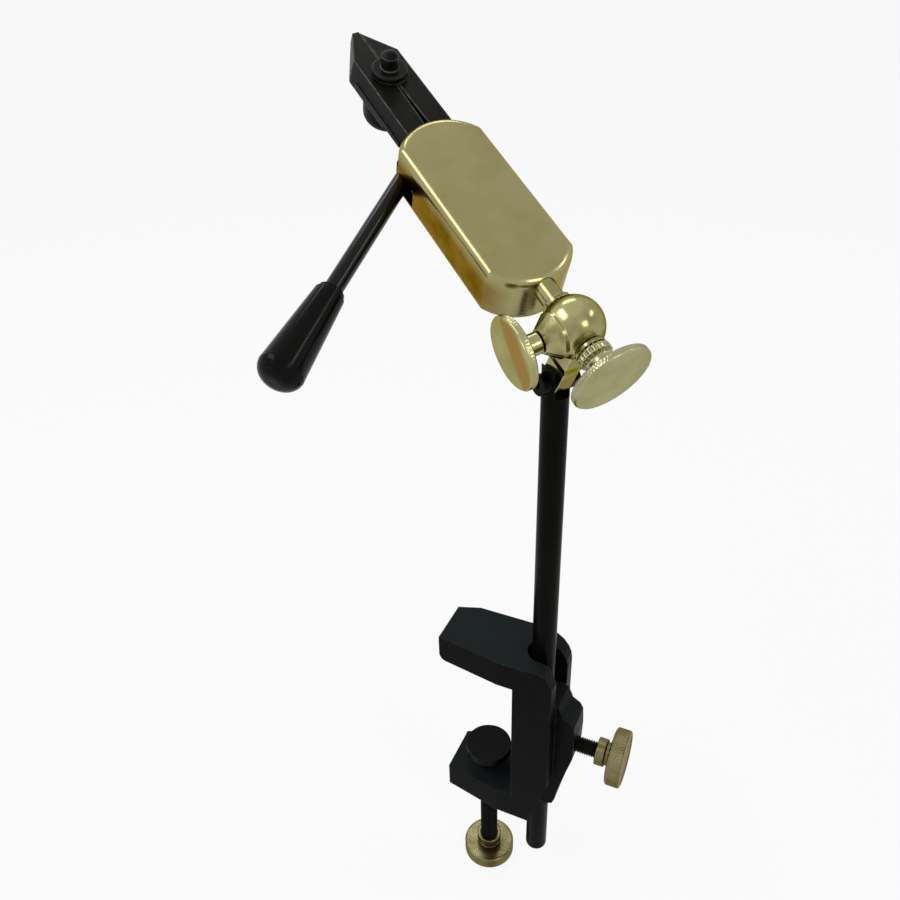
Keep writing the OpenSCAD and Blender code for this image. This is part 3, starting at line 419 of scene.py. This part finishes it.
def housing_plating():
    """Pale greenish plating, with a painted warm brown reflection down the sides.

    The painted reflection fades out between 1.8 mm below the shaft's axis and 2.5 mm above it."""
    pale, clouded, bare = (0.335, 0.308, 0.150), (0.300, 0.270, 0.122), (0.50, 0.47, 0.28)
    # These two browns are the painted warm reflection on the lower sides.
    brown, dark_brown = (0.235, 0.145, 0.036), (0.140, 0.080, 0.018)
    base, span = 13.0, 18.0
    f = Finish("housing_plating")
    soft, rubbed = f.edges(0.5)
    grain = f.noise(0.6, 2.0)
    cloud = f.ramp(f.noise(14.0, 3.0), (0.35, 0.0), (0.7, 1.0))
    # The masks below lay the painted reflection on the side faces, up to a little above the
    # shaft.
    above = f.node("VectorMath", {"operation": "DOT_PRODUCT"},
                   {0: f.place, 1: tuple(head_up)}, 1) - float(ball @ head_up)
    low = 1 - f.ramp((above + base) / span, (0.62, 0.0), (0.86, 1.0))
    side = (f.facing(left, 0.55, 0.90) + f.facing(-left, 0.55, 0.90)).clip()
    warm = f.blend(f.ramp(f.noise(9.0, 2.0), (0.35, 0.0), (0.65, 1.0)), brown, dark_brown)
    colour = f.blend(side * low, f.blend(cloud, pale, clouded), warm)
    colour = f.blend(rubbed * 0.4, colour, bare)
    return f.finish(colour, f.spread(grain, 0.17, 0.25), 1.0, height=grain, depth_mm=0.002,
                    normal=soft, Specular_Tint=(0.70, 0.60, 0.40))


wear(["housing_body", "housing_plate"], housing_plating())
bright = bright_steel()
wear(["carrier_screws", "cam_lobe"], bright)
print("plating and bright steel on 4 nodes")

# %% [markdown]
# ## A mesh from a grid
#
# Every new piece here is a tube of some kind: a skin that closes round an axis or a wire. Its
# points come as one array of rows and columns, and the faces follow from the array's shape
# alone. Each piece then rides on its body and takes the place of the plain CAD node.

# %% A mesh from a grid
WELD_GAP = 0.001        # mm


def axes(direction):
    """Two directions square to the given one, and the direction itself, as rows."""
    w = np.array(direction, float)
    w /= np.linalg.norm(w)
    u = np.cross(w, (0.0, 0.0, 1.0) if abs(w[2]) < 0.9 else (1.0, 0.0, 0.0))
    u /= np.linalg.norm(u)
    return np.array([u, np.cross(w, u), w])


def grid_mesh(name, points, body, material, replaces):
    """Makes a piece from a (rows, columns, 3) array in millimetres.

    Columns close on themselves, and the first and last rows are drawn to a point, so the
    skin is shut: row i, column j joins (i, j), (i, j+1), (i+1, j+1) and (i+1, j)."""
    rows, columns, _ = points.shape
    i, j = np.meshgrid(np.arange(rows - 1), np.arange(columns), indexing="ij")
    k = (j + 1) % columns
    quads = np.stack([i * columns + j, i * columns + k, (i + 1) * columns + k,
                      (i + 1) * columns + j], -1).reshape(-1, 4)
    mesh = bpy.data.meshes.new(name)
    mesh.from_pydata((points.reshape(-1, 3) * MM).tolist(), [], quads.tolist())
    mesh.polygons.foreach_set("use_smooth", [True] * len(mesh.polygons))
    piece = bpy.data.objects.new(name, mesh)
    bpy.context.scene.collection.objects.link(piece)
    weld(piece)
    wear([piece], material)
    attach(piece, body)
    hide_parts(*replaces)
    print(name, len(mesh.polygons), "faces")


def weld(piece):
    """Merges doubles, as at the poles of a turned part, and turns the faces outwards."""
    work = bmesh.new()
    work.from_mesh(piece.data)
    bmesh.ops.remove_doubles(work, verts=work.verts, dist=WELD_GAP * MM)
    bmesh.ops.dissolve_degenerate(work, edges=work.edges, dist=WELD_GAP * MM)
    bmesh.ops.recalc_face_normals(work, faces=work.faces)
    work.to_mesh(piece.data)
    work.free()


print("mesh maker ready")

# %% [markdown]
# ## Profiles
#
# A lathe tool follows a profile, and leaves no perfectly sharp corner. One helper rounds the
# corners. The other walks along the profile and sets points, close together only where a
# knurl or a thread is to be cut.

# %% Profiles
PLAIN_STRETCH = 4       # times further apart are points where nothing is cut
CORNER_POINTS = 5
CORNER_SHARE = 0.45     # of a side, at most, is taken by the rounding of one corner
TINY = 1e-6


def along(profile, step):
    """Places points every `step` mm along a profile of (radius, height, kind) corners."""
    parts = []
    for (r0, s0, _), (r1, s1, kind) in zip(profile[:-1], profile[1:]):
        gap = step if kind else PLAIN_STRETCH * step
        n = max(1, int(np.ceil(np.hypot(r1 - r0, s1 - s0) / gap)))
        t = np.arange(n) / n
        parts.append(np.stack([r0 + (r1 - r0) * t, s0 + (s1 - s0) * t,
                               np.full(n, float(kind))], 1))
    parts.append(np.array([[profile[-1][0], profile[-1][1], 0.0]]))
    return np.concatenate(parts)


def rounded(profile, radius):
    """Rounds the corners of a profile: each becomes a few points of a parabola.

    x = (1 - t)^2 p + 2 t (1 - t) b + t^2 q, from p on one side past the corner b to q."""
    out = [profile[0]]
    for before, corner, after in zip(profile[:-2], profile[1:-1], profile[2:]):
        a, b, c = (np.array(p[:2], float) for p in (before, corner, after))
        da, dc = np.linalg.norm(a - b), np.linalg.norm(c - b)
        if corner[0] < TINY or min(da, dc) < TINY:
            out.append(corner)
            continue
        p = b + (a - b) / da * min(radius, da * CORNER_SHARE)
        q = b + (c - b) / dc * min(radius, dc * CORNER_SHARE)
        for t in np.linspace(0, 1, CORNER_POINTS):
            x = (1 - t) ** 2 * p + 2 * t * (1 - t) * b + t * t * q
            out.append((x[0], x[1], corner[2] if t == 0 else 0))
    return out + [profile[-1]]


print("profile helpers ready")

# %% [markdown]
# ## Turned pieces
#
# Almost everything that a lathe makes is one profile swept round an axis. A grid of angle
# against place along the profile gives the whole surface at once, and anything that a lathe
# operator does with a knurling wheel or a die is a small change of radius on that grid.

# %% Turned pieces
def turned(name, profile, origin, direction, body, slot, material, replaces,
           around, step, cut, radius):
    """A turned piece: x = o + r(a, s) (u cos a + v sin a) + s w for profile points (r, s).

    Profile points are (radius, height, kind), kind saying what is cut on the stretch that
    ends there; `cut` maps (kind, angle, height) to the depth taken off. `around` points go
    round the axis, about one each `step` mm goes along, and corners get the given radius."""
    points = along(rounded(profile, radius), step)
    angle = np.arange(around) * 2 * np.pi / around
    s = np.repeat(points[:, 1:2], around, 1)
    a = np.repeat(angle[None], len(points), 0)
    r = np.repeat(points[:, :1], around, 1) - cut(points[:, 2:3], a, s)
    u, v, w = axes(direction)
    grid = (np.array(origin) + r[..., None] * (np.cos(a)[..., None] * u
            + np.sin(a)[..., None] * v) + s[..., None] * w)
    grid_mesh(name, grid, body, material, replaces)


print("lathe ready")

# %% [markdown]
# ## Knurls and knob sections
#
# A knurling wheel presses two crossed sets of grooves into a rim and leaves small diamonds.
# Two waves that climb in opposite directions give that pattern, where the nearer groove counts.
# The thick knobs of the clamp have a face sunk inside a lip, and the thin ones of the head are
# flat, with a rounded rim.

# %% Knurls and knob sections
KNURL_PITCH, GROOVE_POWER = 2.0, 1.5
BEADS, BEAD_DEPTH, BEAD_CORNER = 18, 0.75, 0.9
INSET, BEVEL = 0.6, 0.5             # how far the rim's corners are cut in, and along
FLAT_BEVEL, FLAT_DROP, DOME = 0.75, 0.15, 0.04
LIP, LIP_FOOT = 1.5, 1.9            # from the rim to the top and the foot of the lip's slope
CENTRE_R, CENTRE_DEPTH = 0.9, 0.75  # the lathe's centre hole


def knurl(count, depth):
    """Kind 1: crossed grooves, `count` round the rim. Kind 2: coarse beads round a hub.

    Groove depth = depth (1 - m)^1.5, with m the smaller of |sin| of two waves that climb in
    opposite directions. Bead depth = BEAD_DEPTH (1 - |cos|) of half the bead angle."""
    def cut(kind, a, s):
        u = count * a / (2 * np.pi) + s / KNURL_PITCH
        v = count * a / (2 * np.pi) - s / KNURL_PITCH
        diamond = np.minimum(np.abs(np.sin(np.pi * u)), np.abs(np.sin(np.pi * v)))
        fine = depth * (1 - diamond) ** GROOVE_POWER
        bead = BEAD_DEPTH * (1 - np.abs(np.cos(BEADS / 2 * a)))
        return np.where(kind == 1, fine, np.where(kind == 2, bead, 0.0))
    return cut


def knob_profile(d, t, hub_d, hub_len, bore_d, neck=0.0, collar=0.62, dish=0.35):
    """Half section of a thumb knob: hub from height 0, then the disc.

    The face is sunk by `dish` inside a lip, or slightly domed where that is 0.
    With a neck, the hub is a collar over a share of its length, and then that much thinner.
    A collar of less than half the hub is a ring with rounded corners and coarse beads."""
    r, hub_r, bore_r = d / 2, hub_d / 2, bore_d / 2
    h, beaded = hub_len + t, collar < 0.5
    turn, kind = (BEAD_CORNER, 2) if beaded else (0.0, 0)
    hub = [(bore_r, INSET, 0), (bore_r, 0, 0), (hub_r - turn, 0, 0)]
    if neck:
        hub += [(hub_r, turn, kind), (hub_r, hub_len * collar - turn, kind),
                (hub_r - neck, hub_len * (collar + 0.04), kind), (hub_r - neck, hub_len, 0)]
    else:
        hub += [(hub_r, hub_len, 0)]
    rim = [(r - INSET, hub_len, 0), (r, hub_len + BEVEL, 0)]
    if dish:
        rim += [(r, h - BEVEL, 1), (r - INSET, h, 0)]
        face = [(r - LIP, h, 0), (r - LIP_FOOT, h - dish, 0), (CENTRE_R, h - dish, 0),
                (0.0, h - CENTRE_DEPTH, 0)]
    else:
        rim += [(r, h - FLAT_BEVEL, 1), (r - INSET, h - FLAT_DROP, 0)]
        face = [(r / 2, h - DOME, 0), (0.0, h, 0)]
    return hub + rim + face


print("knob sections ready")

# %% [markdown]
# ## The four knobs
#
# Two thick knobs work the clamp, and two thin ones the head. Each stands where its plain CAD
# knob stood: the first two take their places from the boxes of those nodes, and the other two
# lie on the joint axes, at a distance from the ball's centre.

# %% The four knobs
def middle_mm(box, axis):
    """The middle of a box along one axis, in millimetres."""
    return (box[0][axis] + box[1][axis]) / 2 * TO_MM


KNOB = dict(slot="brass_knurled", around=432, step=0.16, radius=0.22)
BENCH_KNOB = dict(d=23.6, t=6, hub_d=11.4, hub_len=6, neck=0.9)
BENCH_KNURL, LOCK_KNURL, DRAG_KNURL = knurl(72, 0.16), knurl(72, 0.14), knurl(80, 0.14)
DRAG_KNOB_AT = 9.96     # mm behind the ball's centre
clamp_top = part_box("clamp_knob")[1][2] * TO_MM
turned("clamp_knob_turned", knob_profile(bore_d=8.05, **BENCH_KNOB),
       (0, 0, clamp_top), (0, 0, -1), "clamp_drive", replaces=["clamp_knob"],
       cut=BENCH_KNURL, material=bench_brass, **KNOB)
lock_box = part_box("stem_lock_knob")
lock_x, lock_z = lock_box[0][0] * TO_MM, middle_mm(lock_box, 2)
turned("stem_lock_knob_turned", knob_profile(bore_d=6.85, **BENCH_KNOB),
       (lock_x, 0, lock_z), (1, 0, 0), "stem_lock", replaces=["stem_lock_knob"],
       cut=BENCH_KNURL, material=bench_brass, **KNOB)
turned("rotation_lock_knob_turned", knob_profile(**LOCK_KNOB),
       ball + LOCK_KNOB_AT * lock_axis, lock_axis, "rotation_lock",
       replaces=["rotation_lock_knob"], cut=LOCK_KNURL, material=brass_with_painted_reflection, **KNOB)
turned("drag_knob_turned",
       knob_profile(d=26.6, t=3, hub_d=11, hub_len=9, bore_d=6.1, neck=1.3, collar=0.42, dish=0),
       ball - DRAG_KNOB_AT * ahead, -ahead, "drag", replaces=["drag_knob"],
       cut=DRAG_KNURL, material=knob_brass, **KNOB)

# %% [markdown]
# ## Screw threads
#
# A thread is a groove that climbs one pitch for each turn, so its depth depends on height
# minus pitch times angle. The groove fades out near both ends, where the die stops.

# %% Threaded screws
THREAD_DEPTH = 0.54                 # of the pitch
FLANK_GAIN, FLANK_SHIFT = 1.25, 0.15    # these flatten the groove's bottom and the crest
START_BEVEL, END_BEVEL = 0.6, 0.4
THREAD = dict(around=56, radius=0.1)
POINTS_PER_PITCH = 9


def threaded(name, d, pitch, length, origin, direction, body, replaces, tip=None):
    """A screw of diameter d, threaded over `length`; `tip` adds a plain (d, length) end.

    Depth = 0.54 pitch x triangle wave of (height / pitch - angle / turn), faded at the ends."""
    def groove(kind, a, s):
        phase = (s / pitch - a / (2 * np.pi)) % 1.0
        fade = np.clip(s / pitch, 0, 1) * np.clip((length - s) / pitch, 0, 1)
        wave = np.clip(FLANK_GAIN * np.abs(2 * phase - 1) - FLANK_SHIFT, 0, 1)
        return np.where(kind == 1, THREAD_DEPTH * pitch * wave * fade, 0)
    profile = [(0, 0, 0), (d / 2 - START_BEVEL, 0, 0), (d / 2, START_BEVEL, 0),
               (d / 2, length - END_BEVEL, 1)]
    end_r, end = d / 2, length
    if tip:
        end_r, end = tip[0] / 2, length + tip[1]
        profile += [(end_r, length, 0), (end_r, end - END_BEVEL, 0)]
    profile += [(end_r - END_BEVEL, end, 0), (0, end, 0)]
    turned(name, profile, origin, direction, body, "black_steel", steel, replaces,
           step=pitch / POINTS_PER_PITCH, cut=groove, **THREAD)


CLAMP_TIP = (6.0, 4.0)
screw_low, screw_high = (corner[2] * TO_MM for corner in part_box("clamp_screw"))
threaded("clamp_screw_threaded", 8.0, 1.25, screw_high - CLAMP_TIP[1] - screw_low,
         (0, 0, screw_low), (0, 0, 1), "clamp_drive", ["clamp_screw"], tip=CLAMP_TIP)
stud_low, stud_high = (corner[0] * TO_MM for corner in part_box("stem_lock_screw"))
threaded("stem_lock_screw_threaded", 6.8, 1.0, stud_high - stud_low,
         (stud_low, 0, lock_z), (1, 0, 0), "stem_lock", ["stem_lock_screw"])

# %% [markdown]
# ## The jaw spring
#
# The spring between the jaws is a helix of wire. Its skin is a circle of wire carried along
# the helix: one angle runs round the wire and the other runs round the coil.

# %% Jaw spring
COIL_D, WIRE_D, COIL_LENGTH, COIL_TURNS = 3.0, 0.6, 6.2, 5
POINTS_PER_TURN, WIRE_SIDES = 28, 10


def coil(centre, direction):
    """x = o + (R + q cos b)(u cos a + v sin a) + (rise a + q sin b) w, a along, b round."""
    u, v, w = axes(direction)
    a = np.linspace(0, 2 * np.pi * COIL_TURNS, COIL_TURNS * POINTS_PER_TURN)[:, None]
    b = (np.arange(WIRE_SIDES) * 2 * np.pi / WIRE_SIDES)[None]
    q = np.full_like(a, WIRE_D / 2)
    q[0] = q[-1] = 0.0
    r = (COIL_D - WIRE_D) / 2 + q * np.cos(b)
    s = (COIL_LENGTH - WIRE_D) * (a / a.max() - 0.5) + q * np.sin(b)
    return (np.array(centre) + (r * np.cos(a))[..., None] * u + (r * np.sin(a))[..., None] * v
            + s[..., None] * w)


spring_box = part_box("jaw_spring")
spring_at = [middle_mm(spring_box, axis) for axis in range(3)]
grid_mesh("jaw_spring_coil", coil(spring_at, left), "jaw_left", bright,
          ["jaw_spring"])

# %% [markdown]
# ## The floor
#
# The photograph has a white ground with hardly a shadow. A pale floor alone would come out grey,
# so to camera, glossy and transmission rays it is mostly a plain glow. What is left of the real
# surface keeps a trace of the shadow, and all other rays meet an ordinary pale floor.

# %% Floor
FLOOR_GAP, FLOOR_RADIUS, FLOOR_SIDES = 0.0004, 18.0, 64     # metres, metres, corners
FLOOR_GLOW = 0.88
FLOOR = float(cad_box[0][2]) - FLOOR_GAP
floor_mesh = bpy.data.meshes.new("floor")
turn = np.arange(FLOOR_SIDES) * 2 * np.pi / FLOOR_SIDES
rim = FLOOR_RADIUS * np.stack([np.cos(turn), np.sin(turn), 0 * turn], 1) + (0, 0, FLOOR)
floor_mesh.from_pydata(rim.tolist(), [], [list(range(FLOOR_SIDES))])
floor = bpy.data.objects.new("floor", floor_mesh)
bpy.context.scene.collection.objects.link(floor)
f = Finish("pale_floor")
glow = f.node("Emission", {}, {"Color": (1.0, 1.0, 1.0), "Strength": 1.0})
f.link((0.86, 0.86, 0.86), f.shader.inputs["Base Color"])
f.link(0.7, f.shader.inputs["Roughness"])
seen_by = [f.node("LightPath", {}, {}, "Is %s Ray" % kind)
           for kind in ("Camera", "Glossy", "Transmission")]
seen = (seen_by[0] + seen_by[1] + seen_by[2]).clip() * FLOOR_GLOW
surface = f.node("MixShader", {}, {0: seen, 1: Wire(f, f.shader.outputs[0]), 2: glow})
f.tree.links.new(surface.socket, f.tree.nodes["Material Output"].inputs["Surface"])
floor.data.materials.append(f.material)
print("floor at", round(FLOOR, 4))

# %% [markdown]
# ## The world
#
# Polished metal shows the room, and diffuse light comes from it too, but the two need not be
# equally bright. Camera, glossy and transmission rays see a dome that is white up to a third of
# the way and a little darker overhead. All other rays see an even, dimmer world, so that the
# lamps and not the room shape the forms.

# %% World
HORIZON, OVERHEAD = 1.0, 0.86       # strength of the dome at its two ends
FADE_FROM, FADE_TO = 0.35, 0.85     # upward part of the view direction where it changes
DIFFUSE_STRENGTH = 0.48
world = bpy.data.worlds.new("studio")
bpy.context.scene.world = world
world.use_nodes = True
tree = world.node_tree
back = tree.nodes["Background"]


def world_node(kind, settings, links):
    box = tree.nodes.new("ShaderNode" + kind)
    for key, value in settings.items():
        setattr(box, key, value)
    for key, value in links.items():
        if isinstance(value, bpy.types.NodeSocket):
            tree.links.new(value, box.inputs[key])
        else:
            box.inputs[key].default_value = value
    return box


sky = world_node("TexCoord", {}, {})
split = world_node("SeparateXYZ", {}, {0: sky.outputs["Generated"]})
dome = world_node("MapRange", {}, {
    "Value": split.outputs["Z"], "From Min": FADE_FROM, "From Max": FADE_TO,
    "To Min": HORIZON, "To Max": OVERHEAD})
path = world_node("LightPath", {}, {})
looks = world_node("Math", {"operation": "MAXIMUM"}, {
    0: path.outputs["Is Camera Ray"], 1: path.outputs["Is Glossy Ray"]})
looks = world_node("Math", {"operation": "MAXIMUM"}, {
    0: looks.outputs[0], 1: path.outputs["Is Transmission Ray"]})
level = world_node("Mix", {"data_type": "FLOAT"}, {
    0: looks.outputs[0], 2: DIFFUSE_STRENGTH, 3: dome.outputs[0]})
tree.links.new(level.outputs[0], back.inputs["Strength"])
back.inputs["Color"].default_value = (1, 1, 1, 1)
print("world set")

# %% [markdown]
# ## The lamps
#
# Product photographers hang large soft boxes, because a small lamp leaves a hard spot in
# polished metal. Each box here is a rectangle aimed at the vise. It is set by its radiance, the
# brightness that its reflection shows, and the power follows from its area.

# %% Lamps
AIM = Vector((0.03, -0.01, 0.15))
LAMP_DISTANCE = 1.1
LAMPS = (   # name, azimuth and height in degrees, width and tall in metres, radiance
    ("key", -145, 50, 0.80, 0.34, 4.0),
    ("back", 128, 50, 0.55, 0.14, 6.0),
    ("right_strip", 27, 39, 0.36, 0.14, 6.0),
    ("front_right", -27, 28, 0.34, 0.28, 5.0),
    ("low_front", -119, 4, 0.34, 0.18, 2.5))


def softbox(name, azimuth, height, width, tall, radiance):
    """A rectangular area lamp seen from the vise at an azimuth and height in degrees.

    A lamp of area A gives radiance L with a power of pi L A."""
    a, h = np.radians((azimuth, height))
    lamp = bpy.data.lights.new(name, "AREA")
    lamp.shape, lamp.size, lamp.size_y = "RECTANGLE", width, tall
    lamp.energy = np.pi * radiance * width * tall
    obj = bpy.data.objects.new(name, lamp)
    away = Vector((np.cos(a) * np.cos(h), np.sin(a) * np.cos(h), np.sin(h)))
    obj.location = AIM + away * LAMP_DISTANCE
    obj.rotation_euler = (-away).to_track_quat("-Z", "Y").to_euler()
    bpy.context.scene.collection.objects.link(obj)


for lamp in LAMPS:
    softbox(*lamp)
bpy.context.scene.view_settings.view_transform = "Standard"
print(len(LAMPS), "lamps")

# %% [markdown]
# ## Faces seen from within
#
# Dressing must not change the size of the thing. Materials show both sides of a face, so that
# a face seen from within isn't a hole.

# %% Two-sided faces
for material in bpy.data.materials:
    material.use_backface_culling = False
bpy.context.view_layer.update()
